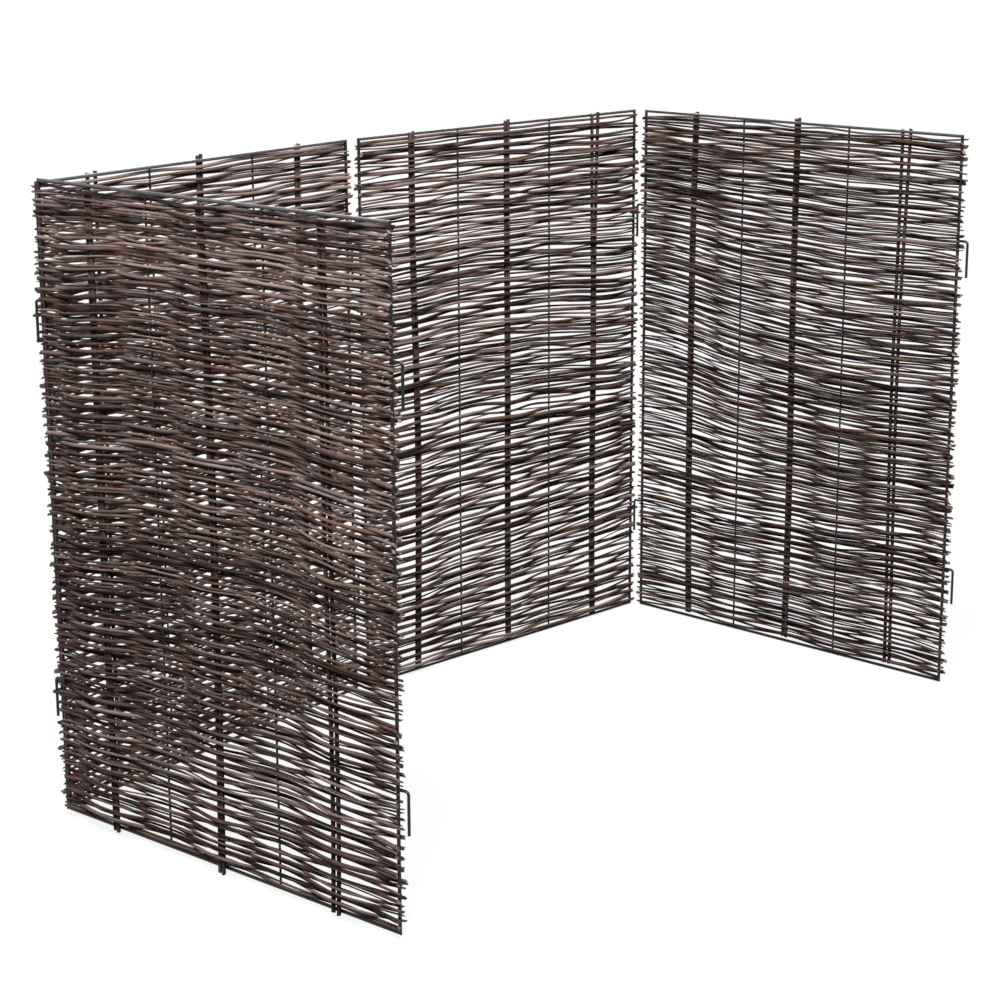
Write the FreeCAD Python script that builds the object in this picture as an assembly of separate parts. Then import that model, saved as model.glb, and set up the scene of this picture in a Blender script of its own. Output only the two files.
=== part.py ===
import FreeCAD, Part
import math
import os

# Panel frame in millimetres, from axis to axis of its steel rods
FRAME_WIDTH = 720.0
FRAME_HEIGHT = 1000.0
ROD_DIA = 5.5
WIRE_DIA = 3.5

# Willow stakes in pairs against one face of the frame. Their heads stand out
# past one frame rod and their feet stop short of the opposite one
BAYS = 6
STAKE_DIA = 6.8
STAKE_SPACING = 9.7
MIDDLE_HEAD = 10.0
OUTER_HEAD = 6.0
STAKE_STEP = 2.0
STAKE_SHORT = 4.0
STAKE_SEAT = 0.2

# Woven willow, as ridged rows that pass the warps on alternate sides
ROW_COUNT = 36
ROW_MARGIN = 8.0
ROW_THICKNESS = 8.0
ROW_SLIT = 2.0
ROW_WANDER = 4.5
ROW_OVERHANG = 4.0
ROD_PASS = 1.9
WIRE_PASS = 0.5
STAKE_PASS = 1.2

# Rise or fall of an even row at each warp; odd rows go the other way
WANDER_PATTERN = (-1, -1, 1, 1, -1, -1, -1)

# Drop hooks and eyes that link neighbouring panels
HOOK_DIA = 4.5
HOOK_REACH = 20.0
HOOK_BEND = 5.0
HOOK_RISE = 16.0
HOOK_DROP = 48.0
EYE_DIA = 4.0
EYE_REACH = 12.0
EYE_TAIL = 3.0
EYE_ROWS = (7, 29)
PIN_CLEARANCE = 0.5

# Inside angles between neighbouring panels, in degrees
LEFT_CORNER = 94.5
MIDDLE_BEND = 171.5
RIGHT_CORNER = 91.5

# Sizes that follow from those above
BAY = FRAME_WIDTH / BAYS
ROW_PITCH = (FRAME_HEIGHT - 2 * ROW_MARGIN) / ROW_COUNT
ROW_HALF_HEIGHT = (ROW_PITCH - ROW_SLIT) / 2
STAKE_PLANE = ROD_DIA / 2 + STAKE_SEAT + STAKE_DIA / 2
EDGE_LANE = ROD_DIA / 2 + ROD_PASS + ROW_THICKNESS / 2
WIRE_LANE = WIRE_DIA / 2 + WIRE_PASS + ROW_THICKNESS / 2
STAKE_LANE = STAKE_DIA / 2 + STAKE_PASS + ROW_THICKNESS / 2
EYE_HALF_WIDTH = HOOK_DIA / 2 + PIN_CLEARANCE + EYE_DIA / 2
EYE_HEIGHTS = [ROW_MARGIN + row * ROW_PITCH for row in EYE_ROWS]
REACH = {"hooks": HOOK_REACH, "eyes": EYE_REACH}

UP = FreeCAD.Vector(0, 0, 1)


def point(x, y, z):
    return FreeCAD.Vector(x, y, z)


def bar(start, end, diameter):
    """Straight round bar between two points."""
    run = end - start
    return Part.makeCylinder(diameter / 2, run.Length, start, run)


def bent_bar(edges, diameter):
    """Round bar along a smooth path of edges."""
    path = Part.Wire([edge.toShape() for edge in edges])
    first = path.Edges[0]
    start = first.valueAt(first.FirstParameter)
    along = first.tangentAt(first.FirstParameter)
    section = Part.Wire([Part.makeCircle(diameter / 2, start, along)])
    return path.makePipeShell([section], True, False)


def space_beyond(corner, outward):
    """Block of space on the outward side of a plane through a frame corner."""
    size = 8 * ROD_DIA
    block = Part.makeBox(size, size, size, point(-size / 2, -size / 2, 0))
    block.Placement = FreeCAD.Placement(corner, FreeCAD.Rotation(UP, outward))
    return block


def frame_rod(start, end):
    """One side of the welded rectangle, mitred at both corners."""
    run = (end - start).normalize()
    inward = point(FRAME_WIDTH / 2, 0, FRAME_HEIGHT / 2) - (start + end) * 0.5
    inward.normalize()
    rod = bar(start - run * ROD_DIA, end + run * ROD_DIA, ROD_DIA)
    rod = rod.cut(space_beyond(start, inward - run))
    return rod.cut(space_beyond(end, inward + run))


def frame():
    """The four frame rods by name."""
    low_left = point(0, 0, 0)
    low_right = point(FRAME_WIDTH, 0, 0)
    top_right = point(FRAME_WIDTH, 0, FRAME_HEIGHT)
    top_left = point(0, 0, FRAME_HEIGHT)
    return {
        "bottom_rod": frame_rod(low_left, low_right),
        "right_rod": frame_rod(low_right, top_right),
        "top_rod": frame_rod(top_right, top_left),
        "left_rod": frame_rod(top_left, low_left),
    }


def inner_wire(warp, rods):
    """Thin upright, coped to the top and bottom rods."""
    x = warp * BAY
    wire = bar(point(x, 0, 0), point(x, 0, FRAME_HEIGHT), WIRE_DIA)
    return wire.cut(rods["bottom_rod"]).cut(rods["top_rod"])


def stake_pair(warp, reach):
    """Two sticks side by side behind the frame, the left one a step lower at the head."""
    sticks = []
    for side, past in ((-1, reach - STAKE_STEP), (1, reach)):
        x = warp * BAY + side * STAKE_SPACING / 2
        foot = point(x, STAKE_PLANE, STAKE_SHORT)
        head = point(x, STAKE_PLANE, FRAME_HEIGHT + past)
        sticks.append(bar(foot, head, STAKE_DIA))
    return Part.makeCompound(sticks)


def stakes():
    """The three pairs by name."""
    return {
        "stakes_left": stake_pair(1, OUTER_HEAD),
        "stakes_middle": stake_pair(3, MIDDLE_HEAD),
        "stakes_right": stake_pair(5, OUTER_HEAD),
    }


def to_face(shape, face):
    """A piece modelled for the back of the frame, on the named face."""
    if face == "back":
        return shape.copy()
    return shape.mirror(point(0, 0, 0), point(0, 1, 0))


def to_end(shape, heads):
    """A stake pair modelled with its heads up, with them up or down."""
    if heads == "up":
        return shape.copy()
    return shape.mirror(point(0, 0, FRAME_HEIGHT / 2), UP)


def stand(heads):
    """Height of the bottom rod's axis above the ground, on that rod or on the heads."""
    return ROD_DIA / 2 if heads == "up" else MIDDLE_HEAD


def lane(warp, side):
    """Distance behind the frame plane at which a row passes a warp."""
    if warp in (0, BAYS):
        return side * EDGE_LANE
    if warp % 2:
        return STAKE_PLANE + side * STAKE_LANE
    return side * WIRE_LANE


def row_section(row, warp):
    """Ridged section of a row where it passes a warp."""
    overhang = {0: -ROW_OVERHANG, BAYS: ROW_OVERHANG}.get(warp, 0.0)
    x = warp * BAY + overhang
    y = lane(warp, 1 if (row + warp) % 2 else -1)
    swing = ROW_WANDER * WANDER_PATTERN[warp]
    z = ROW_MARGIN + (row + 0.5) * ROW_PITCH + (-swing if row % 2 else swing)
    half = ROW_THICKNESS / 2
    return [
        point(x, y - half, z),
        point(x, y, z - ROW_HALF_HEIGHT),
        point(x, y + half, z),
        point(x, y, z + ROW_HALF_HEIGHT),
    ]


def woven_row(row):
    """One row from edge to edge, in straight ridged spans between the warps."""
    sections = [row_section(row, warp) for warp in range(BAYS + 1)]
    outlines = [sections[0], sections[-1]]
    for near, far in zip(sections, sections[1:]):
        for i in range(4):
            j = (i + 1) % 4
            outlines.append([near[i], near[j], far[j], far[i]])
    faces = [Part.Face(Part.makePolygon(line + line[:1])) for line in outlines]
    solid = Part.makeSolid(Part.makeShell(faces))
    if solid.Volume < 0:
        solid.reverse()
    return solid


def weave():
    """All rows as one wall, joined where neighbours touch between the warps."""
    rows = [woven_row(row) for row in range(ROW_COUNT)]
    return rows[0].multiFuse(rows[1:])


def hook(height, rod):
    """Bar that leaves the left rod sideways, bends and hangs down as a pin."""
    arm = height + HOOK_RISE
    turn = HOOK_BEND * math.sqrt(0.5)
    bend_start = point(HOOK_BEND - HOOK_REACH, 0, arm)
    bend_middle = point(HOOK_BEND - HOOK_REACH - turn, 0, arm - HOOK_BEND + turn)
    bend_end = point(-HOOK_REACH, 0, arm - HOOK_BEND)
    tip = point(-HOOK_REACH, 0, height - HOOK_DROP)
    path = [
        Part.LineSegment(point(0, 0, arm), bend_start),
        Part.Arc(bend_start, bend_middle, bend_end),
        Part.LineSegment(bend_end, tip),
    ]
    return bent_bar(path, HOOK_DIA).cut(rod)


def eye(height):
    """Hairpin loop on both flanks of the left rod, round the pin axis."""
    near_tail = point(EYE_TAIL, -EYE_HALF_WIDTH, height)
    near = point(-EYE_REACH, -EYE_HALF_WIDTH, height)
    nose = point(-EYE_REACH - EYE_HALF_WIDTH, 0, height)
    far = point(-EYE_REACH, EYE_HALF_WIDTH, height)
    far_tail = point(EYE_TAIL, EYE_HALF_WIDTH, height)
    path = [
        Part.LineSegment(near_tail, near),
        Part.Arc(near, nose, far),
        Part.LineSegment(far, far_tail),
    ]
    return bent_bar(path, EYE_DIA)


def fittings(kind, rod):
    """Upper and lower hooks or eyes of the left edge."""
    if kind == "hooks":
        return Part.makeCompound([hook(height, rod) for height in EYE_HEIGHTS])
    return Part.makeCompound([eye(height) for height in EYE_HEIGHTS])


def on_right_edge(shape):
    """The same fittings mirrored to the right edge."""
    return shape.mirror(point(FRAME_WIDTH / 2, 0, 0), point(1, 0, 0))


def panel(left_kind, right_kind, face, heads, wall):
    """All pieces of one panel by name, standing at the left rod."""
    rods = frame()
    pieces = dict(rods)
    pieces["wire_left"] = inner_wire(2, rods)
    pieces["wire_right"] = inner_wire(4, rods)
    for name, pair in stakes().items():
        pieces[name] = to_face(to_end(pair, heads), face)
    pieces["weave"] = to_face(wall, face)
    pieces["left_" + left_kind] = fittings(left_kind, rods["left_rod"])
    pieces["right_" + right_kind] = on_right_edge(fittings(right_kind, rods["left_rod"]))
    return pieces


def heading(angle):
    """Level direction at an angle from the X axis."""
    return point(math.cos(math.radians(angle)), math.sin(math.radians(angle)), 0)


# Plan of the four panels: directions from left to right and the pin axes
BACK_LEFT_ANGLE = (180.0 - MIDDLE_BEND) / 2
BACK_RIGHT_ANGLE = -BACK_LEFT_ANGLE
FRONT_LEFT_ANGLE = BACK_LEFT_ANGLE - LEFT_CORNER
RIGHT_ANGLE = BACK_RIGHT_ANGLE - 180.0 + RIGHT_CORNER

left_axis = point(0, 0, 0)
middle_axis = left_axis + heading(BACK_LEFT_ANGLE) * (EYE_REACH + FRAME_WIDTH + EYE_REACH)
right_axis = middle_axis + heading(BACK_RIGHT_ANGLE) * (HOOK_REACH + FRAME_WIDTH + EYE_REACH)

# Axis, angle, left and right fittings, face and end of the stakes
PANELS = {
    "front_left": (left_axis, FRONT_LEFT_ANGLE, "hooks", "hooks", "front", "down"),
    "back_left": (left_axis, BACK_LEFT_ANGLE, "eyes", "eyes", "back", "up"),
    "back_right": (middle_axis, BACK_RIGHT_ANGLE, "hooks", "eyes", "front", "up"),
    "right": (right_axis, RIGHT_ANGLE, "hooks", "hooks", "back", "up"),
}

wall = weave()
nodes = {}
for name, (axis, angle, left_kind, right_kind, face, heads) in PANELS.items():
    foot = axis + heading(angle) * REACH[left_kind] + UP * stand(heads)
    place = FreeCAD.Placement(foot, FreeCAD.Rotation(UP, angle))
    for piece, shape in panel(left_kind, right_kind, face, heads, wall).items():
        shape.Placement = place.multiply(shape.Placement)
        nodes[name + "_" + piece] = shape

# The frame of the whole part: middle of its box in plan, on the ground
whole = Part.makeCompound(list(nodes.values())).optimalBoundingBox(False, False)
to_middle = point(-whole.Center.x, -whole.Center.y, -whole.ZMin)

os.makedirs("parts", exist_ok=True)
for name, shape in nodes.items():
    shape.translate(to_middle)
    shape.exportStep("parts/" + name + ".step")
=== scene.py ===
"""Woven willow hurdle: four panels hooked together, dressed over their solids."""
import logging
import math
from dataclasses import dataclass, field
from enum import Enum
from typing import Any, Optional, Union

import bpy
import numpy as np
from mathutils import Matrix, Vector


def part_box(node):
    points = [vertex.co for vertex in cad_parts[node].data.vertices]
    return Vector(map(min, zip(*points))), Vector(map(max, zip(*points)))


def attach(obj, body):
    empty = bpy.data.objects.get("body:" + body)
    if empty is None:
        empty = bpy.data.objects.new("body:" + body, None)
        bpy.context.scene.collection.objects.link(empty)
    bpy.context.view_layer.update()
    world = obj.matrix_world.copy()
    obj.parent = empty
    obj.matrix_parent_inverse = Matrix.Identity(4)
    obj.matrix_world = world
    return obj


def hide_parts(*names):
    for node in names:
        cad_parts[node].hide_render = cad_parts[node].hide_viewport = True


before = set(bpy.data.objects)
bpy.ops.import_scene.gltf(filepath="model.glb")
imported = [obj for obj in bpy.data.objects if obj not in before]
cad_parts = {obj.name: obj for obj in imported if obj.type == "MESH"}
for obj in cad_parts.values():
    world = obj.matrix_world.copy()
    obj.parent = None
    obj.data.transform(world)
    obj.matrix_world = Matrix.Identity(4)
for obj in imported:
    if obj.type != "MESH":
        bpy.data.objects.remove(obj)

LOG = logging.getLogger("hurdle")
MM = 0.001
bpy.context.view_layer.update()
UP = Vector((0.0, 0.0, 1.0))

# Sizes of the solids' steel, and the spaces between the seven uprights
EDGE_ROD = 5.5 * MM
INNER_WIRE = 3.5 * MM
EYE_WIRE = 4.0 * MM
BAYS = 6

Span = tuple[float, float]
Triple = tuple[float, float, float]
Colour = Triple


class Panel(Enum):
    """The four panels, named as their nodes are."""

    FRONT_LEFT = "front_left"
    BACK_LEFT = "back_left"
    BACK_RIGHT = "back_right"
    RIGHT = "right"

    def node(self, piece: str) -> str:
        """Name of one of the panel's nodes."""
        return f"{self.value}_{piece}"

    @property
    def body(self) -> str:
        """Name of the body that carries the panel."""
        return f"{self.value}_panel"


class Slot(Enum):
    """Material slots of the record that the willow takes."""

    STAKES = "willow_stakes"
    WEAVE = "woven_willow"


@dataclass(frozen=True)
class Grain:
    """Cloudy noise: its scale, how fine it is, and its stretch along a rod."""

    scale: float
    detail: float
    roughness: float = 0.5
    along: float = 1.0


@dataclass(frozen=True)
class Relief:
    """Fine relief of a surface: its depth in metres and how much of it shows."""

    depth: float
    strength: float


class Shade:
    """A value in a shader, which arithmetic turns into Math nodes."""

    def __init__(self, tree: "ShaderTree", socket: bpy.types.NodeSocket) -> None:
        """Wraps an output socket of a tree."""
        self.tree = tree
        self.socket = socket

    def _math(self, operation: str, first: Any, second: Any = 0.0) -> "Shade":
        """Adds one Math node.

        Args:
            operation: The Math node's operation.
            first: Its first value.
            second: Its second value.

        Returns:
            The node's result.
        """
        return self.tree.node("ShaderNodeMath", {"operation": operation}, {0: first, 1: second})[0]

    def __add__(self, other: Any) -> "Shade":
        """Sum."""
        return self._math("ADD", self, other)

    __radd__ = __add__

    def __mul__(self, other: Any) -> "Shade":
        """Product."""
        return self._math("MULTIPLY", self, other)

    __rmul__ = __mul__

    def __sub__(self, other: Any) -> "Shade":
        """Difference."""
        return self._math("SUBTRACT", self, other)

    def at_least(self, other: Any) -> "Shade":
        """The larger of two values."""
        return self._math("MAXIMUM", self, other)

    def fraction(self) -> "Shade":
        """What is left of the value above its whole number."""
        return self._math("FRACT", self)

    def step(self, low: float, high: float) -> "Shade":
        """Smooth step, which falls where low is larger.

        Args:
            low: The value at which it is 0.
            high: The value at which it is 1.

        Returns:
            The step.
        """
        settings = {"interpolation_type": "SMOOTHSTEP"}
        inputs = {"Value": self, "From Min": low, "From Max": high}
        return self.tree.node("ShaderNodeMapRange", settings, inputs)["Result"]


class Outputs:
    """A node's outputs as shades, by name or number."""

    def __init__(self, tree: "ShaderTree", node: bpy.types.Node) -> None:
        """Keeps the node and its tree."""
        self.tree = tree
        self.node = node

    def __getitem__(self, key: Union[int, str]) -> Shade:
        """One output."""
        return Shade(self.tree, self.node.outputs[key])


class ShaderTree:
    """The nodes of one material or world."""

    def __init__(self, owner: Union[bpy.types.Material, bpy.types.World]) -> None:
        """Empties the owner's node tree.

        Args:
            owner: The material or world.
        """
        owner.use_nodes = True
        self.tree = owner.node_tree
        self.tree.nodes.clear()

    def node(self, kind: str, settings: dict[str, Any], inputs: dict[Any, Any]) -> Outputs:
        """Adds any node.

        Args:
            kind: The node's type.
            settings: Its properties, and ramp stops under "stops".
            inputs: Values or links of its sockets, by name or number.

        Returns:
            The node's outputs.
        """
        made = self.tree.nodes.new(kind)
        for name, value in settings.items():
            if name == "stops":
                self._fill_ramp(made.color_ramp, value)
            else:
                setattr(made, name, value)
        for key, value in inputs.items():
            if isinstance(value, Shade):
                self.tree.links.new(value.socket, made.inputs[key])
            elif isinstance(value, tuple) and made.inputs[key].type == "RGBA":
                made.inputs[key].default_value = (*value, 1.0)
            else:
                made.inputs[key].default_value = value
        return Outputs(self, made)

    @staticmethod
    def _fill_ramp(ramp: bpy.types.ColorRamp, stops: list[tuple[float, Colour]]) -> None:
        """Sets a ramp's stops.

        Args:
            ramp: The ramp.
            stops: Place and colour of each.
        """
        while len(ramp.elements) < len(stops):
            ramp.elements.new(1.0)
        for element, (place, colour) in zip(ramp.elements, stops):
            element.position = place
            element.color = (*colour, 1.0)

    def attribute(self, name: str) -> Outputs:
        """A mesh attribute."""
        return self.node("ShaderNodeAttribute", {"attribute_name": name}, {})

    def object_place(self) -> Shade:
        """The object's own coordinates."""
        return self.node("ShaderNodeTexCoord", {}, {})["Object"]

    def noise(self, place: Shade, grain: Grain) -> Shade:
        """Cloudy noise around 0.5."""
        inputs = {
            "Vector": place, "Scale": grain.scale, "Detail": grain.detail, "Roughness": grain.roughness,
        }
        return self.node("ShaderNodeTexNoise", {}, inputs)["Fac"]

    def rod_noise(self, place: Shade, grain: Grain) -> Shade:
        """Cloudy noise that is drawn out along a rod."""
        return self.noise(self.stretched(place, (grain.along, 1.0, 1.0)), grain)

    def mix(self, share: Any, first: Any, second: Any) -> Shade:
        """Blend of two colours."""
        inputs = {0: share, 6: first, 7: second}
        return self.node("ShaderNodeMix", {"data_type": "RGBA"}, inputs)[2]

    def stretched(self, place: Shade, scale: Triple) -> Shade:
        """Place scaled along its axes."""
        return self.node("ShaderNodeMapping", {}, {"Vector": place, "Scale": scale})["Vector"]

    def length(self, vector: Shade) -> Shade:
        """Length of a vector."""
        return self.node("ShaderNodeVectorMath", {"operation": "LENGTH"}, {0: vector})["Value"]

    def bump(self, height: Shade, relief: Relief) -> Shade:
        """Surface direction over a relief."""
        inputs = {"Height": height, "Distance": relief.depth, "Strength": relief.strength}
        return self.node("ShaderNodeBump", {}, inputs)["Normal"]

    def surface(self, inputs: dict[str, Any]) -> None:
        """Ends a material in one principled surface."""
        body = self.node("ShaderNodeBsdfPrincipled", {}, inputs)
        self.node("ShaderNodeOutputMaterial", {}, {"Surface": body["BSDF"]})


@dataclass(frozen=True)
class BarkFinish:
    """Dry brown willow bark, streaked along the rod and paler where it is rubbed."""

    name: str = "willow_bark"
    shadow: Colour = (0.0155, 0.0086, 0.0078)
    brown: Colour = (0.081, 0.0455, 0.0390)
    pale: Colour = (0.174, 0.117, 0.103)
    rubbed: Colour = (0.350, 0.272, 0.250)
    russet: Colour = (0.200, 0.096, 0.060)
    olive: Colour = (0.172, 0.118, 0.074)
    bloom: Colour = (0.148, 0.124, 0.127)
    pore: Colour = (0.250, 0.180, 0.135)
    streaks: Grain = Grain(0.62, 5.0, 0.72, along=0.05)
    mottles: Grain = Grain(0.10, 3.0, along=0.30)
    patches: Grain = Grain(0.16, 3.0, along=0.12)
    tone_weight: float = 0.80
    streak_weight: float = 0.90
    mottle_weight: float = 0.46
    level_shift: float = 0.70
    brown_level: float = 0.32
    pale_level: float = 0.62
    tint_spread: float = 29.0
    tint_edge: Span = (0.40, 0.60)
    warm_edge: Span = (0.25, 0.65)
    bloom_edge: Span = (0.46, 0.66)
    bloom_share: float = 0.6
    pore_stretch: Triple = (0.22, 0.55, 0.55)
    pore_edge: Span = (0.17, 0.08)
    pore_share: float = 0.5
    streak_height: float = 0.8
    pore_height: float = 0.6
    relief: Relief = Relief(0.8 * MM, 0.55)
    smoothest: float = 0.40
    rougher: float = 0.28
    specular: float = 0.03

    def material(self) -> bpy.types.Material:
        """The bark as a material that reads the rods' own attributes.

        Returns:
            The material.
        """
        made = bpy.data.materials.new(self.name)
        tree = ShaderTree(made)
        place = tree.attribute("bark")["Vector"]
        tone = tree.attribute("tone")["Fac"]
        warm = tree.attribute("warm")["Fac"]
        streak = tree.rod_noise(place, self.streaks)
        mottle = tree.rod_noise(place, self.mottles)
        # The tone holds each wall's painted light and shade as well as each rod's random tone
        level = (tone * self.tone_weight + streak * self.streak_weight
                 + mottle * self.mottle_weight - self.level_shift)
        stops = [(0.0, self.shadow), (self.brown_level, self.brown),
                 (self.pale_level, self.pale), (1.0, self.rubbed)]
        colour = tree.node("ShaderNodeValToRGB", {"stops": stops}, {"Fac": level})["Color"]
        tint = (tone * self.tint_spread).fraction().step(*self.tint_edge)
        warmed = tree.mix(tint, self.russet, self.olive)
        colour = tree.mix(warm * mottle.step(*self.warm_edge), colour, warmed)
        patch = tree.rod_noise(place, self.patches).step(*self.bloom_edge)
        colour = tree.mix(patch * self.bloom_share, colour, self.bloom)
        cells = tree.node(
            "ShaderNodeTexVoronoi",
            {"feature": "F1"},
            {"Vector": tree.stretched(place, self.pore_stretch), "Scale": 1.0},
        )["Distance"]
        pores = cells.step(*self.pore_edge)
        colour = tree.mix(pores * self.pore_share, colour, self.pore)
        height = streak * self.streak_height + pores * self.pore_height + mottle
        tree.surface({
            "Base Color": colour,
            "Roughness": self.smoothest + self.rougher * streak,
            "Normal": tree.bump(height, self.relief),
            "Specular IOR Level": self.specular,
        })
        return made


@dataclass(frozen=True)
class CutFinish:
    """Bare wood of a cut end, with its pith and a weathered grain."""

    name: str = "willow_cut"
    wood: Colour = (0.310, 0.200, 0.125)
    weathered: Colour = (0.070, 0.046, 0.035)
    pith: Colour = (0.060, 0.036, 0.025)
    fibres: Grain = Grain(1.6, 4.0, 0.65)
    fibre_weight: float = 0.9
    tone_weight: float = 1.2
    level_shift: float = 0.35
    pith_edge: Span = (0.95, 0.45)
    relief: Relief = Relief(0.4 * MM, 0.5)
    smoothest: float = 0.66
    rougher: float = 0.2

    def material(self) -> bpy.types.Material:
        """The cut wood as a material that reads the rods' own attributes.

        Returns:
            The material.
        """
        made = bpy.data.materials.new(self.name)
        tree = ShaderTree(made)
        across = tree.stretched(tree.attribute("bark")["Vector"], (0.0, 1.0, 1.0))
        # The cut ends take the same tone, painted light and shade included
        tone = tree.attribute("tone")["Fac"]
        fibre = tree.noise(across, self.fibres)
        level = fibre * self.fibre_weight + tone * self.tone_weight - self.level_shift
        colour = tree.mix(level, self.wood, self.weathered)
        colour = tree.mix(tree.length(across).step(*self.pith_edge), colour, self.pith)
        tree.surface({
            "Base Color": colour,
            "Roughness": self.smoothest + self.rougher * fibre,
            "Normal": tree.bump(fibre, self.relief),
        })
        return made


@dataclass(frozen=True)
class SteelFinish:
    """Black lacquered steel wire, a little uneven, bare or under a pale film of dust and painted sheen.
    """

    name: str = "black_steel"
    lacquer: Colour = (0.0050, 0.0050, 0.0060)
    dust: Colour = (0.018, 0.017, 0.018)
    # Pale blue-grey film: dust, and painted sheen that lightens the piece as if it caught the light from
    # above
    dust_and_sheen_film: Colour = (0.130, 0.132, 0.140)
    dust_and_sheen_share: Optional[Span] = None
    clouds: Grain = Grain(38.0, 4.0, 0.6)
    brushing: Grain = Grain(900.0, 2.0)
    dust_edge: Span = (0.5, 0.8)
    dust_share: float = 0.7
    relief: Relief = Relief(0.2 * MM, 0.20)
    smoothest: float = 0.26
    rougher: float = 0.20
    specular: float = 0.34

    def material(self) -> bpy.types.Material:
        """The steel as a material on object coordinates.

        Returns:
            The material.
        """
        made = bpy.data.materials.new(self.name)
        tree = ShaderTree(made)
        place = tree.object_place()
        cloud = tree.noise(place, self.clouds)
        colour = tree.mix(cloud.step(*self.dust_edge) * self.dust_share, self.lacquer, self.dust)
        # The film of dust and painted sheen: some of it everywhere on the piece, more in its clouds
        if self.dust_and_sheen_share is not None:
            dust_and_sheen_everywhere, dust_and_sheen_in_clouds = self.dust_and_sheen_share
            colour = tree.mix(dust_and_sheen_everywhere + dust_and_sheen_in_clouds * cloud, colour, self.dust_and_sheen_film)
        tree.surface({
            "Base Color": colour,
            "Roughness": self.smoothest + self.rougher * cloud,
            "Normal": tree.bump(tree.noise(place, self.brushing), self.relief),
            "Specular IOR Level": self.specular,
        })
        return made


@dataclass
class PanelPlace:
    """Where one panel stands: its frame, read from its rods."""

    panel: Panel
    origin: Vector = field(init=False)
    across: Vector = field(init=False)
    behind: Vector = field(init=False)
    width: float = field(init=False)
    height: float = field(init=False)
    stake: float = field(init=False)
    stake_plane: float = field(init=False)

    def __post_init__(self) -> None:
        """Reads the frame's corners from its rods, and the stakes' face from a pair."""
        left = self._middle("left_rod")
        right = self._middle("right_rod")
        foot = self._middle("bottom_rod").z
        run = Vector((right.x - left.x, right.y - left.y, 0.0))
        self.origin = Vector((left.x, left.y, foot))
        self.width = run.length
        self.across = run.normalized()
        self.behind = Vector((-self.across.y, self.across.x, 0.0))
        self.height = self._middle("top_rod").z - foot
        behind = self.solid("stakes_middle")[:, 1]
        self.stake = float(np.ptp(behind))
        self.stake_plane = float(behind.min() + self.stake / 2)

    def _middle(self, piece: str) -> Vector:
        """Middle of a node's box."""
        low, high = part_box(self.panel.node(piece))
        return (low + high) / 2

    @property
    def axes(self) -> np.ndarray:
        """The panel's own axes as rows: across, behind and up."""
        return np.array([self.across, self.behind, UP])

    def world(self, points: np.ndarray) -> np.ndarray:
        """Moves points from the panel's own frame to the shared one.

        Args:
            points: Rows of across, behind and up.

        Returns:
            Rows of x, y and z.
        """
        return np.array(self.origin) + points @ self.axes

    def solid(self, piece: str) -> np.ndarray:
        """Corners of one of the panel's solids.

        Args:
            piece: The node's name without the panel's.

        Returns:
            Rows of across, behind and up in the panel's own frame.
        """
        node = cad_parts[self.panel.node(piece)]
        corners = np.array([node.matrix_world @ v.co for v in node.data.vertices])
        return (corners - np.array(self.origin)) @ self.axes.T

    def eyes(self, edge: str) -> list[float]:
        """Where the eyes of an edge sit.

        Args:
            edge: left or right.

        Returns:
            Their heights above the bottom rod, if there are any.
        """
        name = self.panel.node(f"{edge}_eyes")
        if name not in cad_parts:
            return []
        low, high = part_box(name)
        wire = EYE_WIRE / 2
        return [low.z + wire - self.origin.z, high.z - wire - self.origin.z]


def flex(knots: np.ndarray, values: np.ndarray, places: np.ndarray) -> np.ndarray:
    """Natural bend of a thin rod through given places.

    Args:
        knots: Distances at which the rod is held.
        values: Its offsets there.
        places: Distances to read, straight on beyond the last knots.

    Returns:
        The offsets at those distances.
    """
    steps = np.diff(knots)
    slopes = np.diff(values) / steps
    count = len(knots)
    system = np.eye(count)
    load = np.zeros(count)
    for k in range(1, count - 1):
        system[k, k - 1:k + 2] = steps[k - 1], 2 * (steps[k - 1] + steps[k]), steps[k]
        load[k] = 6 * (slopes[k] - slopes[k - 1])
    bend = np.linalg.solve(system, load)
    inside = np.clip(places, knots[0], knots[-1])
    span = np.clip(np.searchsorted(knots, inside, side="right") - 1, 0, count - 2)
    step, start = steps[span], values[span]
    here = inside - knots[span]
    rise = slopes[span] - step * (2 * bend[span] + bend[span + 1]) / 6
    lift = start + here * (rise + here * (bend[span] / 2
                                          + here * (bend[span + 1] - bend[span]) / (6 * step)))
    slope = rise + here * (bend[span] + here * (bend[span + 1] - bend[span]) / (2 * step))
    return lift + slope * (places - inside)


@dataclass
class RodPath:
    """The line of one willow rod, with its thickness and tint."""

    points: np.ndarray
    radii: np.ndarray
    # Tone: the wall's painted light and shade, with the rod's own random tone around it
    tone: float
    warm: float
    turn: float

    @property
    def length(self) -> float:
        """Length along the line."""
        return float(np.linalg.norm(np.diff(self.points, axis=0), axis=1).sum())


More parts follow.
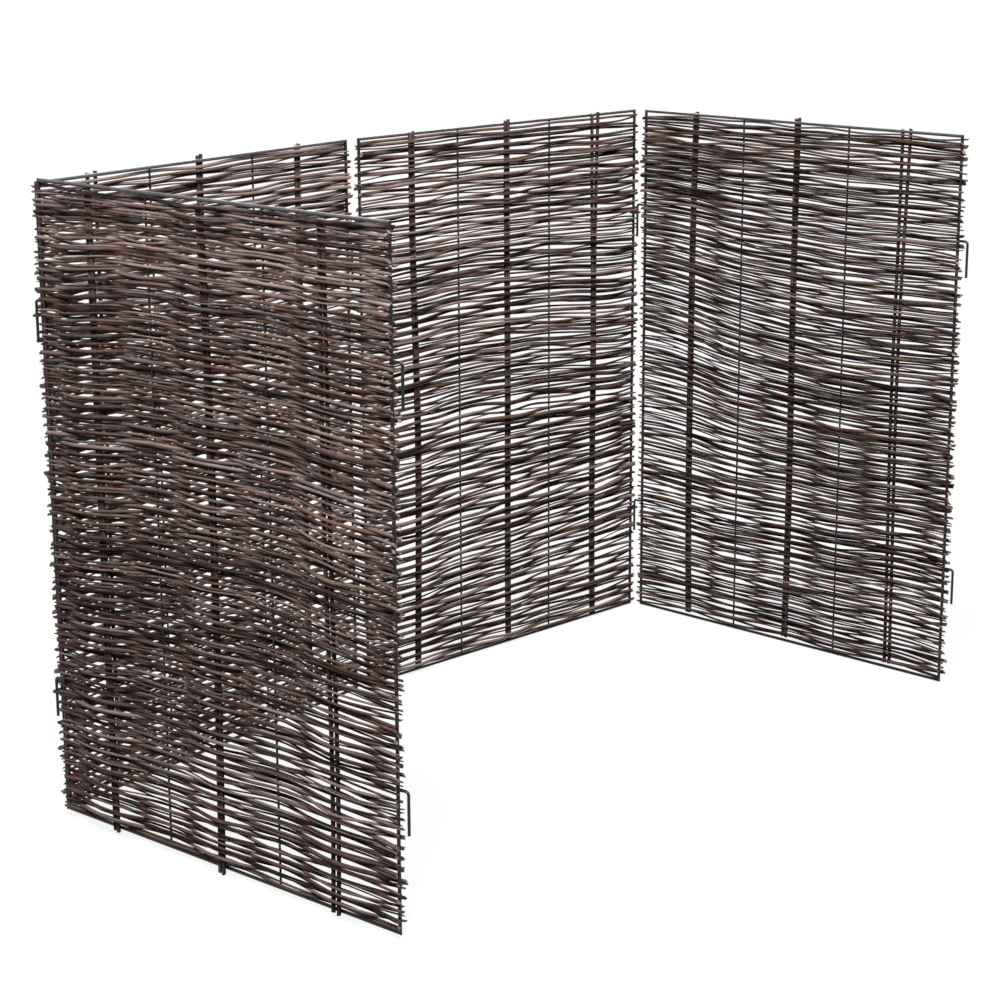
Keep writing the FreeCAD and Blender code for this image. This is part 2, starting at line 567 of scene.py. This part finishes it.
@dataclass(frozen=True)
class StripMap:
    """Map of a bundle: each rod's side in a strip of its own, and its two ends beside it."""

    name: str = "OFBake"
    side_start: float = 0.002
    side_length: float = 0.966
    end_start: float = 0.972
    end_width: float = 0.012
    end_step: float = 0.014
    margin: float = 0.06
    filled: float = 0.88
    side_from: float = 0.499

    def lay(self, mesh: bpy.types.Mesh, lane: int, lanes: int) -> None:
        """Moves a rod's map, with its side above the two ends, to its strip.

        Args:
            mesh: The rod's mesh.
            lane: The rod's strip.
            lanes: How many strips there are.
        """
        layer = mesh.uv_layers.active
        layer.name = self.name
        flat = np.zeros(len(mesh.loops) * 2)
        layer.data.foreach_get("uv", flat)
        flat = flat.reshape(-1, 2)
        ends = flat[:, 1] < self.side_from
        second = flat[:, 0] > 0.5
        laid = np.empty_like(flat)
        laid[:, 0] = self.side_start + (flat[:, 1] - 0.5) * 2 * self.side_length
        laid[:, 1] = (lane + self.margin + self.filled * flat[:, 0]) / lanes
        laid[ends, 0] = (self.end_start + (flat[ends, 0] % 0.5) * 2 * self.end_width
                         + self.end_step * second[ends])
        laid[ends, 1] = (lane + self.margin + self.filled * flat[ends, 1] * 2) / lanes
        layer.data.foreach_set("uv", laid.ravel())


@dataclass
class RodBlank:
    """A straight rod of unit length and radius, which is bent along each path."""

    slant: float
    sides: int = 8
    rings: int = 48
    rim: float = 0.14
    touch: float = 1e-5
    smooth: float = math.radians(50)
    tone_shift: float = 1000
    turn_shift: float = 313
    made: Optional[bpy.types.Object] = None

    def build(self, bark: bpy.types.Material, cut: bpy.types.Material) -> None:
        """Models the blank along X.

        Args:
            bark: Material of its side.
            cut: Material of its two cut ends.
        """
        bpy.ops.object.select_all(action="DESELECT")
        bpy.ops.mesh.primitive_cylinder_add(
            vertices=self.sides, radius=1.0, depth=1.0, end_fill_type="NGON",
            location=(0.5, 0.0, 0.0), rotation=(0.0, math.pi / 2, 0.0))
        blank = bpy.context.active_object
        bpy.ops.object.transform_apply(location=True, rotation=True, scale=True)
        blank.name = "rod_blank"
        blank.data.materials.append(bark)
        blank.data.materials.append(cut)
        self._divide(blank)
        for place, lean in ((0.0, self.slant), (1.0, -self.slant)):
            self._cut_end(blank, place, lean)
        self.made = blank

    @staticmethod
    def _pick(blank: bpy.types.Object, mode: str, chosen: list[int]) -> None:
        """Selects mesh parts by number and enters edit mode.

        Args:
            blank: The object.
            mode: VERT, EDGE or FACE.
            chosen: Numbers of the parts.
        """
        parts = {"VERT": "vertices", "EDGE": "edges", "FACE": "polygons"}[mode]
        bpy.ops.object.mode_set(mode="EDIT")
        bpy.ops.mesh.select_mode(type=mode)
        bpy.ops.mesh.select_all(action="DESELECT")
        bpy.ops.object.mode_set(mode="OBJECT")
        for number in chosen:
            getattr(blank.data, parts)[number].select = True
        bpy.ops.object.mode_set(mode="EDIT")

    def _divide(self, blank: bpy.types.Object) -> None:
        """Divides the long edges into rings.

        Args:
            blank: The object.
        """
        spots = [v.co.x for v in blank.data.vertices]
        long = [e.index for e in blank.data.edges
                if abs(spots[e.vertices[0]] - spots[e.vertices[1]]) > self.touch]
        self._pick(blank, "EDGE", long)
        bpy.ops.mesh.subdivide(number_cuts=self.rings - 1)
        bpy.ops.object.mode_set(mode="OBJECT")

    def _cut_end(self, blank: bpy.types.Object, place: float, lean: float) -> None:
        """Insets one end face, gives it the cut wood and leans it.

        Args:
            blank: The object.
            place: Where the end is along X.
            lean: Turn of the face, in the blank's unit measure.
        """
        face = [p.index for p in blank.data.polygons if abs(p.center.x - place) < self.touch]
        self._pick(blank, "FACE", face)
        bpy.ops.mesh.inset(thickness=self.rim, depth=0.0)
        bpy.context.object.active_material_index = 1
        bpy.ops.object.material_slot_assign()
        bpy.ops.object.mode_set(mode="OBJECT")
        end = [v.index for v in blank.data.vertices if abs(v.co.x - place) < self.touch]
        self._pick(blank, "VERT", end)
        bpy.ops.transform.rotate(value=lean, orient_axis="Y", center_override=(place, 0.0, 0.0))
        bpy.ops.object.mode_set(mode="OBJECT")

    def _bent(self, path: RodPath, lane: int, lanes: int) -> tuple[bpy.types.Object, bpy.types.Object]:
        """Copies the blank and bends the copy along a path.

        Args:
            path: The rod's line.
            lane: The rod's strip of the bundle's map.
            lanes: How many strips the map has.

        Returns:
            The copy and the guide curve that bends it.
        """
        line = bpy.data.curves.new("guide", "CURVE")
        line.dimensions = "3D"
        line.use_radius = True
        line.use_stretch = True
        line.use_deform_bounds = True
        spline = line.splines.new("POLY")
        spline.points.add(len(path.points) - 1)
        weighted = np.ones((len(path.points), 4))
        weighted[:, :3] = path.points
        spline.points.foreach_set("co", weighted.ravel())
        spline.points.foreach_set("radius", path.radii)
        guide = bpy.data.objects.new("guide", line)
        mesh = self.made.data.copy()
        mesh.transform(Matrix.Rotation(path.turn, 4, "X"))
        self._mark(mesh, path)
        StripMap().lay(mesh, lane, lanes)
        copy = bpy.data.objects.new("rod", mesh)
        for thing in (guide, copy):
            bpy.context.scene.collection.objects.link(thing)
        bend = copy.modifiers.new("bend", "CURVE")
        bend.object = guide
        bend.deform_axis = "POS_X"
        return copy, guide

    def _mark(self, mesh: bpy.types.Mesh, path: RodPath) -> None:
        """Writes a rod's tint and its own measure, in millimetres, on its mesh.

        The measure starts elsewhere on each rod, so that no two show the same bark.

        Args:
            mesh: The rod's mesh, still straight.
            path: The rod's line.
        """
        count = len(mesh.vertices)
        spots = np.zeros(count * 3)
        mesh.vertices.foreach_get("co", spots)
        spots = spots.reshape(-1, 3)
        start = self.tone_shift * path.tone + self.turn_shift * path.turn
        measure = np.empty((count, 3))
        measure[:, 0] = spots[:, 0] * path.length / MM + start
        measure[:, 1:] = spots[:, 1:] * path.radii.mean() / MM
        bark = mesh.attributes.new("bark", "FLOAT_VECTOR", "POINT")
        bark.data.foreach_set("vector", measure.ravel())
        for name, value in (("tone", path.tone), ("warm", path.warm)):
            tint = mesh.attributes.new(name, "FLOAT", "POINT")
            tint.data.foreach_set("value", np.full(count, value))

    def bundle(self, name: str, paths: list[RodPath]) -> bpy.types.Object:
        """Bends one copy for each path and joins them into one piece.

        Args:
            name: Name of the piece.
            paths: The rods' lines.

        Returns:
            The piece.
        """
        bpy.ops.object.select_all(action="DESELECT")
        pairs = [self._bent(path, lane, len(paths)) for lane, path in enumerate(paths)]
        for copy, _ in pairs:
            copy.select_set(True)
        bpy.context.view_layer.objects.active = pairs[0][0]
        bpy.ops.object.convert(target="MESH")
        for _, guide in pairs:
            bpy.data.curves.remove(guide.data)
        bpy.ops.object.join()
        piece = bpy.context.active_object
        piece.name = name
        bpy.ops.object.shade_smooth_by_angle(angle=self.smooth)
        return piece

    def discard(self) -> None:
        """Removes the blank itself."""
        bpy.data.objects.remove(self.made)


@dataclass(frozen=True)
class Swell:
    """A place where the rows of a wall rise or sink, as shares of its height and width."""

    level: float
    share: float
    rise: float
    tall: float = 0.28
    wide: float = 0.26


@dataclass(frozen=True)
class Weaving:
    """How rods grow and lie in every wall.

    Sizes are radii. A bend is a count of half waves along a rod and its share of the wander.
    """

    twins: float = 0.40
    twin_size: float = 0.84
    twin_gap: float = 0.2 * MM
    size_spread: float = 0.26
    sizes: Span = (1.3 * MM, 4.6 * MM)
    gap_shape: float = 5.0
    tapers: Span = (0.12, 0.30)
    drawn_above: float = 3.0 * MM
    lowest: float = 4.0 * MM
    highest: float = 5.0 * MM
    held: float = 0.14
    wander: float = 2.2 * MM
    bends: tuple[Span, ...] = ((1.1, 0.65), (2.3, 0.6), (5.1, 0.5), (8.7, 0.65))
    turns: int = 260
    pulled_turns: int = 200
    pull: float = 0.06
    push: float = 0.8
    warp_ease: float = 0.15 * MM
    frame_ease: float = 0.6 * MM
    eye_ease: float = 0.4 * MM
    reach_shares: Span = (0.45, 1.0)
    unevenness: float = 0.025
    buds: float = 0.10
    bud_growth: float = 0.10
    tone_spread: float = 0.32
    warm_spread: float = 0.30
    warmest: float = 0.85
    path_points: int = 65


WEAVING = Weaving()


@dataclass
class WovenWall:
    """The willow of one panel: rods that pass the uprights on alternate sides."""

    place: PanelPlace
    seed: int
    radius: float
    daylight: float
    swells: tuple[Swell, ...]
    # Mean tone of the bark, painted light and shade: a wall in shade gets darker bark, a lit one paler
    tone: float
    reach: Span
    opens: float = 0.0
    warmth: float = 0.0

    def __post_init__(self) -> None:
        """Sets the columns where rods cross and the uprights they pass."""
        self.rng = np.random.default_rng(self.seed)
        self.warps = np.linspace(0.0, self.place.width, BAYS + 1)
        self.columns = np.linspace(0.0, self.place.width, 2 * BAYS + 1)

    def _lane(self, warp: int, side: int, radius: float) -> float:
        """Distance behind the frame at which a rod passes an upright.

        Args:
            warp: The upright, counted from the left edge.
            side: 1 behind it, -1 before it.
            radius: The rod's radius there.

        Returns:
            The distance.
        """
        if warp in (0, BAYS):
            return side * (EDGE_ROD / 2 + WEAVING.warp_ease + radius)
        if warp % 2:
            room = self.place.stake / 2 + WEAVING.warp_ease + radius
            return self.place.stake_plane + side * room
        return side * (INNER_WIRE / 2 + WEAVING.warp_ease + radius)

    def _draw_rods(self) -> None:
        """Draws the rods from the bottom up: row, thickness, taper and first height."""
        rows, radii, heights = [], [], []
        height, row = EDGE_ROD / 2 + WEAVING.drawn_above, 0
        top = self.place.height - EDGE_ROD / 2 - WEAVING.highest
        while height < top:
            twin = self.rng.random() < WEAVING.twins
            space = self.daylight * (1 + self.opens * (1 - 2 * height / top))
            for _ in range(2 if twin else 1):
                size = self.radius * (WEAVING.twin_size if twin else 1.0)
                size = self.rng.normal(size, WEAVING.size_spread * size)
                size = float(np.clip(size, *WEAVING.sizes))
                if rows and rows[-1] == row:
                    gap = WEAVING.twin_gap
                else:
                    gap = self.rng.gamma(WEAVING.gap_shape, space / WEAVING.gap_shape)
                height += size + gap
                rows.append(row)
                radii.append(size)
                heights.append(height)
                height += size
            row += 1
        self.rows = np.array(rows)
        self.radii = np.array(radii)
        low = EDGE_ROD / 2 + WEAVING.lowest
        stretch = (top - low) / (heights[-1] - heights[0])
        self.heights = low + (np.array(heights) - heights[0]) * stretch
        thicker_end = self.rng.choice([-1.0, 1.0], len(rows))
        self.taper = thicker_end * self.rng.uniform(*WEAVING.tapers, len(rows))

    def _radius_at(self, share: np.ndarray) -> np.ndarray:
        """Radii of all rods at shares of the width, thinner towards their tips."""
        return self.radii[:, None] * (1 + np.outer(self.taper, 2 * share - 1))

    def _drifts(self) -> np.ndarray:
        """Drift of the rods by the wall's swells, none at top and bottom.

        Returns:
            Each rod's rise at each column.
        """
        level = (self.heights / self.place.height)[:, None]
        share = (self.columns / self.place.width)[None, :]
        free = np.clip(np.minimum(level, 1 - level) / WEAVING.held, 0.0, 1.0)
        rise = np.zeros((len(self.heights), len(self.columns)))
        for swell in self.swells:
            away = ((level - swell.level) / swell.tall) ** 2 + ((share - swell.share) / swell.wide) ** 2
            rise += swell.rise * np.exp(-away)
        return rise * free

    def _wanted(self) -> np.ndarray:
        """Where the rods would lie by their own bends and the wall's drift.

        Returns:
            Each rod's height at each column.
        """
        share = self.columns / self.place.width
        wish = self.heights[:, None] + self._drifts()
        for waves, size in WEAVING.bends:
            phase = self.rng.uniform(0, 2 * math.pi, (len(self.rows), 1))
            swing = self.rng.normal(0, size * WEAVING.wander, (len(self.rows), 1))
            wish = wish + swing * np.sin(waves * math.pi * share[None, :] + phase)
        return wish

    def _settle(self) -> np.ndarray:
        """Lets the rods press on each other until none lies in another.

        Returns:
            Each rod's height at each column.
        """
        wish = self._wanted()
        radii = self._radius_at(self.columns / self.place.width)
        lift = wish.copy()
        for turn in range(WEAVING.turns):
            if turn < WEAVING.pulled_turns:
                lift += WEAVING.pull * (wish - lift)
            for column in range(len(self.columns)):
                for group in self._layers(column):
                    self._press(lift[:, column], radii[:, column], group)
                room = EDGE_ROD / 2 + WEAVING.frame_ease + radii[:, column]
                lift[:, column] = np.clip(lift[:, column], room, self.place.height - room)
            for edge, column in (("left", 0), ("right", -1)):
                for eye in self.place.eyes(edge):
                    self._clear(lift[:, column], radii[:, column], eye)
        return lift

    def _layers(self, column: int) -> list[np.ndarray]:
        """Rods that lie in one plane at a column.

        Args:
            column: The column, at an upright where it is even.

        Returns:
            Those behind and before an upright, or all of them between two.
        """
        if column % 2:
            return [np.arange(len(self.rows))]
        behind = (self.rows + column // 2) % 2 == 1
        return [np.flatnonzero(behind), np.flatnonzero(~behind)]

    @staticmethod
    def _press(lift: np.ndarray, radii: np.ndarray, group: np.ndarray) -> None:
        """Pushes neighbours of one layer apart where they overlap, in place.

        Args:
            lift: Heights of all rods at a column.
            radii: Their radii there.
            group: Numbers of the layer's rods, from the bottom up.
        """
        need = radii[group[:-1]] + radii[group[1:]]
        over = np.maximum(need - np.diff(lift[group]), 0.0) * 0.5
        push = np.zeros(len(group))
        push[:-1] -= over
        push[1:] += over
        lift[group] += WEAVING.push * push

    def _clear(self, lift: np.ndarray, radii: np.ndarray, eye: float) -> None:
        """Moves the rods at an edge off an eye, up or down by where they began, in place.

        Args:
            lift: Heights of all rods at the edge.
            radii: Their radii there.
            eye: The eye's height.
        """
        room = EYE_WIRE / 2 + WEAVING.eye_ease + radii
        near = np.abs(lift - eye) < room
        lift[near] = eye + np.where(self.heights[near] > eye, 1, -1) * room[near]

    def _paths(self) -> list[RodPath]:
        """Draws, settles and bends the rods.

        Returns:
            Their lines in the shared frame.
        """
        self._draw_rods()
        lift = self._settle()
        warp_radii = self._radius_at(self.warps / self.place.width)
        paths = []
        for rod, row in enumerate(self.rows):
            sides = [1 if (row + warp) % 2 else -1 for warp in range(BAYS + 1)]
            depth = np.array([self._lane(w, s, warp_radii[rod, w]) for w, s in enumerate(sides)])
            start = -self.rng.uniform(*WEAVING.reach_shares) * self.reach[0]
            end = self.place.width + self.rng.uniform(*WEAVING.reach_shares) * self.reach[1]
            line = np.linspace(start, end, WEAVING.path_points)
            points = np.stack([
                line,
                flex(self.warps, depth, line),
                flex(self.columns, lift[rod], line),
            ], axis=1)
            share = np.clip(line / self.place.width, 0, 1)
            radii = self.radii[rod] * (1 + self.taper[rod] * (2 * share - 1))
            paths.append(self._tinted(self.place.world(points), radii))
        return paths

    def _tinted(self, points: np.ndarray, radii: np.ndarray) -> RodPath:
        """One rod's line with small swellings at its buds, and its tint: a random tone of its own around
        the wall's painted light and shade.

        Args:
            points: The line in the shared frame.
            radii: The even taper along it.

        Returns:
            The finished path.
        """
        buds = self.rng.random(len(radii)) < WEAVING.buds
        uneven = WEAVING.unevenness * self.rng.normal(size=len(radii)).clip(-1, 1)
        grown = radii * (1 + uneven + WEAVING.bud_growth * buds)
        grown[:2], grown[-2:] = radii[:2], radii[-2:]
        tone = float(np.clip(self.rng.normal(self.tone, WEAVING.tone_spread), 0.0, 1.0))
        warm = float(np.clip(self.rng.normal(self.warmth, WEAVING.warm_spread), 0.0, WEAVING.warmest))
        return RodPath(points, grown, tone, warm, float(self.rng.uniform(0, 2 * math.pi)))

    def build(self, blank: RodBlank) -> bpy.types.Object:
        """Weaves the wall and lets it stand for its solid.

        Args:
            blank: The rod that is copied.

        Returns:
            The wall's piece.
        """
        paths = self._paths()
        piece = blank.bundle(f"{self.place.panel.value}_willow", paths)
        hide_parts(self.place.panel.node("weave"))
        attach(piece, self.place.panel.body)
        LOG.info("%s: %d rods, %d faces", piece.name, len(paths), len(piece.data.polygons))
        return piece


# How far each stick of a pair stands out from its solid, at the foot and at the head
TIGHT = -1.2 * MM
LOOSE = 0.6 * MM
OPEN = 3.6 * MM
CLOSED = (TIGHT, TIGHT)
PAIRS = {
    Panel.FRONT_LEFT: (CLOSED, CLOSED, (LOOSE, TIGHT)),
    Panel.BACK_LEFT: ((LOOSE, OPEN), CLOSED, CLOSED),
    Panel.BACK_RIGHT: (CLOSED, CLOSED, (TIGHT, OPEN)),
    Panel.RIGHT: (CLOSED, CLOSED, (LOOSE, OPEN)),
}


@dataclass
class StakeRow:
    """The three pairs of stakes of one panel."""

    place: PanelPlace
    seed: int
    apart: tuple[Span, ...]
    # Tone of the sticks, darker than the wall's: their own darker wood and painted shade behind the rods
    tone: float
    tone_spread: float = 0.11
    warmest: float = 0.2
    last_turn: float = 6.28
    lean: float = 2.6 * MM
    own_lean: float = 2.6 * MM / 12
    parts_from: float = 0.70
    parts_over: float = 0.30
    parts_power: float = 1.2
    taper: float = 0.06
    unevenness: float = 0.02
    path_points: int = 60

    def __post_init__(self) -> None:
        """Sets the places along a stick, as shares of its length."""
        self.rng = np.random.default_rng(self.seed)
        self.share = np.linspace(0, 1, self.path_points)

    def build(self, blank: RodBlank) -> list[bpy.types.Object]:
        """Cuts both sticks of each pair and lets them stand for their solids.

        Args:
            blank: The rod that is copied.

        Returns:
            One piece for each pair.
        """
        made = []
        parting = np.clip((self.share - self.parts_from) / self.parts_over, 0.0, 1.0) ** self.parts_power
        for part, (foot, head) in zip(("left", "middle", "right"), self.apart):
            node = self.place.panel.node(f"stakes_{part}")
            corners = self.place.solid(f"stakes_{part}")
            middle = (corners[:, 0].min() + corners[:, 0].max()) / 2
            bow = self._bow(self.lean)
            apart = foot + (head - foot) * parting
            paths = []
            for side in (-1, 1):
                stick = corners[(corners[:, 0] - middle) * side > 0]
                paths.append(self._stick(stick, bow + side * apart))
            piece = blank.bundle(f"{node}_sticks", paths)
            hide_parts(node)
            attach(piece, self.place.panel.body)
            LOG.info("%s: %d faces", piece.name, len(piece.data.polygons))
            made.append(piece)
        return made

    def _bow(self, size: float) -> np.ndarray:
        """Sideways bend along a stick, none at its ends.

        Args:
            size: About how far it goes.

        Returns:
            The offset at each point of the path.
        """
        return sum(self.rng.normal(0, size / k) * np.sin(k * math.pi * self.share) for k in (1, 2, 3))

    def _stick(self, solid: np.ndarray, bow: np.ndarray) -> RodPath:
        """One stick, a little bent and tapered.

        Args:
            solid: Corners of the solid that it stands for.
            bow: Sideways bend of its pair.

        Returns:
            The stick's path.
        """
        low, high = solid.min(axis=0), solid.max(axis=0)
        middle = (low + high) / 2
        across = middle[0] + bow + self._bow(self.own_lean)
        behind = np.full(self.path_points, middle[1])
        points = np.stack([across, behind, np.linspace(low[2], high[2], self.path_points)], axis=1)
        uneven = self.unevenness * self.rng.normal(size=self.path_points).clip(-1, 1)
        radii = (high[1] - low[1]) / 2 * (1.0 - self.taper * self.share + uneven)
        tone = self.tone + float(self.rng.uniform(-self.tone_spread, self.tone_spread))
        warm = float(self.rng.uniform(0, self.warmest))
        turn = float(self.rng.uniform(0, self.last_turn))
        return RodPath(self.place.world(points), radii, tone, warm, turn)


@dataclass
class SteelWork:
    """The steel of one panel: frame rods, inner uprights, hooks and eyes."""

    panel: Panel
    pieces: tuple[str, ...] = (
        "bottom_rod", "right_rod", "top_rod", "left_rod", "wire_left", "wire_right",
        "left_hooks", "right_hooks", "left_eyes", "right_eyes",
    )
    # The top rod takes the film of dust and painted sheen, and shows lighter than the rest of the steel
    dust_and_sheen_piece: str = "top_rod"

    def dress(self, steel: bpy.types.Material, dust_and_sheen: bpy.types.Material) -> None:
        """Gives the panel's steel nodes their finish.

        Args:
            steel: The bare finish.
            dust_and_sheen: The finish of the top rod, a pale film of dust and painted sheen that makes
                it lighter.
        """
        for piece in self.pieces:
            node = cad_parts.get(self.panel.node(piece))
            if node is None:
                continue
            node.data.materials.clear()
            node.data.materials.append(dust_and_sheen if piece == self.dust_and_sheen_piece else steel)
            LOG.info("%s dressed", node.name)


@dataclass(frozen=True)
class Lamp:
    """One soft square lamp: where it hangs, its side in metres and its power in watts."""

    name: str
    spot: Triple
    size: float
    power: float

    def hang(self, aim: Vector) -> None:
        """Hangs the lamp.

        Args:
            aim: Where it points.
        """
        light = bpy.data.lights.new(self.name, "AREA")
        light.shape = "SQUARE"
        light.size = self.size
        light.energy = self.power
        lamp = bpy.data.objects.new(self.name, light)
        lamp.location = self.spot
        lamp.rotation_mode = "QUATERNION"
        lamp.rotation_quaternion = (aim - Vector(self.spot)).to_track_quat("-Z", "Y")
        bpy.context.scene.collection.objects.link(lamp)


@dataclass
class Studio:
    """Plain pale floor, soft light and the camera."""

    floor_reach: float = 9.0
    floor_rim: float = 3.0
    floor_sides: int = 96
    floor_drop: float = 0.5 * MM
    bounce: Colour = (0.10, 0.10, 0.10)
    paper: Colour = (0.96, 0.96, 0.97)
    white: Colour = (1.0, 1.0, 1.0)
    glow: float = 0.8
    glow_edge: Span = (0.9, 1.6)
    ambient: float = 0.03
    lamps: tuple[Lamp, ...] = (
        Lamp("side", (-1.9, -0.8, 2.7), 1.3, 110.0),
        Lamp("overhead", (-0.2, -1.2, 3.2), 1.8, 86.0),
        Lamp("rear", (2.0, 2.0, 2.4), 1.6, 80.0),
    )
    lit: Triple = (0.0, 0.0, 0.5)
    spot: Triple = (-3.0032, -2.5268, 1.4426)
    yaw: float = math.radians(49.2483)
    pitch: float = math.radians(14.5459)
    roll: float = math.radians(-0.23)
    lens: float = 86.3069
    sensor: float = 36.0
    sight: float = 100.0

    @staticmethod
    def _seen(tree: ShaderTree) -> Shade:
        """Tells rays that show the background itself, by sight, gloss or glass.

        Args:
            tree: The tree that asks.

        Returns:
            1 on such rays.
        """
        path = tree.node("ShaderNodeLightPath", {}, {})
        seen = path["Is Camera Ray"].at_least(path["Is Glossy Ray"])
        return seen.at_least(path["Is Transmission Ray"])

    def _floor_material(self) -> bpy.types.Material:
        """Pale paper, which glows white away from the part and takes its shadow near it.

        Returns:
            The material.
        """
        made = bpy.data.materials.new("pale_floor")
        tree = ShaderTree(made)
        plain = tree.node("ShaderNodeBsdfDiffuse", {}, {"Color": self.bounce})["BSDF"]
        lit = tree.node("ShaderNodeBsdfDiffuse", {}, {"Color": self.paper})["BSDF"]
        glow = tree.node("ShaderNodeEmission", {}, {"Color": self.white})["Emission"]
        away = tree.length(tree.object_place()).step(*self.glow_edge)
        share = self.glow + (1 - self.glow) * away
        shown = tree.node("ShaderNodeMixShader", {}, {0: share, 1: lit, 2: glow})["Shader"]
        surface = tree.node("ShaderNodeMixShader", {}, {0: self._seen(tree), 1: plain, 2: shown})
        tree.node("ShaderNodeOutputMaterial", {}, {"Surface": surface["Shader"]})
        return made

    def _floor(self) -> None:
        """Lays the floor, whose white keeps the shadow."""
        bpy.ops.object.select_all(action="DESELECT")
        bpy.ops.mesh.primitive_circle_add(
            vertices=self.floor_sides, radius=self.floor_reach, fill_type="NGON",
            location=(0.0, 0.0, -self.floor_drop))
        floor = bpy.context.active_object
        bpy.ops.object.mode_set(mode="EDIT")
        bpy.ops.mesh.select_all(action="SELECT")
        bpy.ops.mesh.inset(thickness=self.floor_rim, depth=0.0)
        bpy.ops.object.mode_set(mode="OBJECT")
        bpy.ops.object.transform_apply(location=True, rotation=True, scale=True)
        floor.name = "floor"
        floor.data.materials.append(self._floor_material())

    def _light(self) -> None:
        """Sets the even surrounding light and the lamps."""
        world = bpy.data.worlds.new("studio")
        tree = ShaderTree(world)
        strength = self.ambient + (1 - self.ambient) * self._seen(tree)
        sky = tree.node("ShaderNodeBackground", {}, {"Color": self.white, "Strength": strength})
        tree.node("ShaderNodeOutputWorld", {}, {"Surface": sky["Background"]})
        bpy.context.scene.world = world
        for lamp in self.lamps:
            lamp.hang(Vector(self.lit))

    def _camera(self) -> None:
        """Stands the camera where the photograph was taken from."""
        level = math.cos(self.pitch)
        ahead = Vector((math.sin(self.yaw) * level, math.cos(self.yaw) * level, -math.sin(self.pitch)))
        right = Vector((math.cos(self.yaw), -math.sin(self.yaw), 0.0))
        up = right.cross(ahead)
        side = right * math.cos(self.roll) + up * math.sin(self.roll)
        crown = up * math.cos(self.roll) - right * math.sin(self.roll)
        data = bpy.data.cameras.new("camera")
        data.lens = self.lens
        data.sensor_width = self.sensor
        data.clip_end = self.sight
        camera = bpy.data.objects.new("camera", data)
        turned = Matrix((side, crown, -ahead)).transposed().to_4x4()
        camera.matrix_world = Matrix.Translation(self.spot) @ turned
        bpy.context.scene.collection.objects.link(camera)
        bpy.context.scene.camera = camera

    def build(self) -> None:
        """Makes floor, lights and camera."""
        self._floor()
        self._light()
        self._camera()
        bpy.context.scene.view_settings.view_transform = "Standard"
        LOG.info("studio ready")


def woven_walls() -> list[WovenWall]:
    """The willow of the four panels, each with the swells and the light that it shows.

    Returns:
        The walls, not yet built.
    """
    places = {panel: PanelPlace(panel) for panel in Panel}
    return [
        # Each wall's tone is painted light and shade: darkest for the right wall, which stands in shade,
        # palest for the lit back left
        WovenWall(places[Panel.FRONT_LEFT], seed=11, radius=2.18 * MM, daylight=0.42 * MM, swells=(
            Swell(0.50, 0.00, -15 * MM, tall=0.40, wide=0.18),
            Swell(0.45, 0.58, 10 * MM, tall=0.32, wide=0.30),
            Swell(0.55, 1.00, -9 * MM, wide=0.15),
            Swell(0.90, 0.00, -12 * MM, tall=0.14, wide=0.15),
        ), opens=0.52, tone=0.53, warmth=0.10, reach=(7.6 * MM, 9.0 * MM)),
        WovenWall(places[Panel.BACK_LEFT], seed=23, radius=2.62 * MM, daylight=1.00 * MM, swells=(
            Swell(0.50, 0.55, 6 * MM, tall=0.16),
            Swell(0.76, 0.60, -5 * MM, tall=0.14),
        ), tone=0.72, reach=(7.5 * MM, 7.5 * MM)),
        WovenWall(places[Panel.BACK_RIGHT], seed=37, radius=2.66 * MM, daylight=1.46 * MM, swells=(
            Swell(0.25, 0.12, -12 * MM, tall=0.16),
            Swell(0.25, 1.00, 18 * MM, tall=0.18),
            Swell(0.58, 0.40, 8 * MM),
            Swell(0.60, 1.00, -18 * MM, tall=0.24),
        ), tone=0.45, reach=(7.0 * MM, 7.5 * MM)),
        WovenWall(places[Panel.RIGHT], seed=41, radius=2.20 * MM, daylight=0.52 * MM, swells=(
            Swell(0.57, 0.00, 33 * MM, tall=0.26),
            Swell(0.55, 0.72, -15 * MM, wide=0.34),
            Swell(0.24, 0.18, -8 * MM, tall=0.14),
            Swell(0.24, 0.95, 11 * MM, tall=0.14),
        ), tone=0.16, reach=(7.4 * MM, 12.0 * MM)),
    ]


# Added to a wall's seed for its stakes, and their share of the wall's tone, which makes the sticks
# darker: partly their own wood, partly painted shade behind the rods
STAKE_SEED = 500
STAKE_TONE_AND_SHADE = 0.45


def main() -> None:
    """Builds the panels one by one, then the studio."""
    logging.basicConfig(level=logging.INFO, format="%(name)s %(message)s")
    bark = BarkFinish().material()
    cut = CutFinish().material()
    steel = SteelFinish().material()
    # The top rods' finish: black steel under a film of dust and painted sheen
    dust_and_sheen = SteelFinish("dust_and_sheen_steel", dust_and_sheen_share=(0.14, 0.56)).material()
    rod, stick = RodBlank(slant=0.0036), RodBlank(slant=0.0009)
    for blank in (rod, stick):
        blank.build(bark, cut)
    for wall in woven_walls():
        panel = wall.place.panel
        wall.build(rod)
        StakeRow(wall.place, wall.seed + STAKE_SEED, PAIRS[panel], STAKE_TONE_AND_SHADE * wall.tone).build(stick)
        SteelWork(panel).dress(steel, dust_and_sheen)
    for blank in (rod, stick):
        blank.discard()
    Studio().build()


if __name__ == "__main__":
    main()
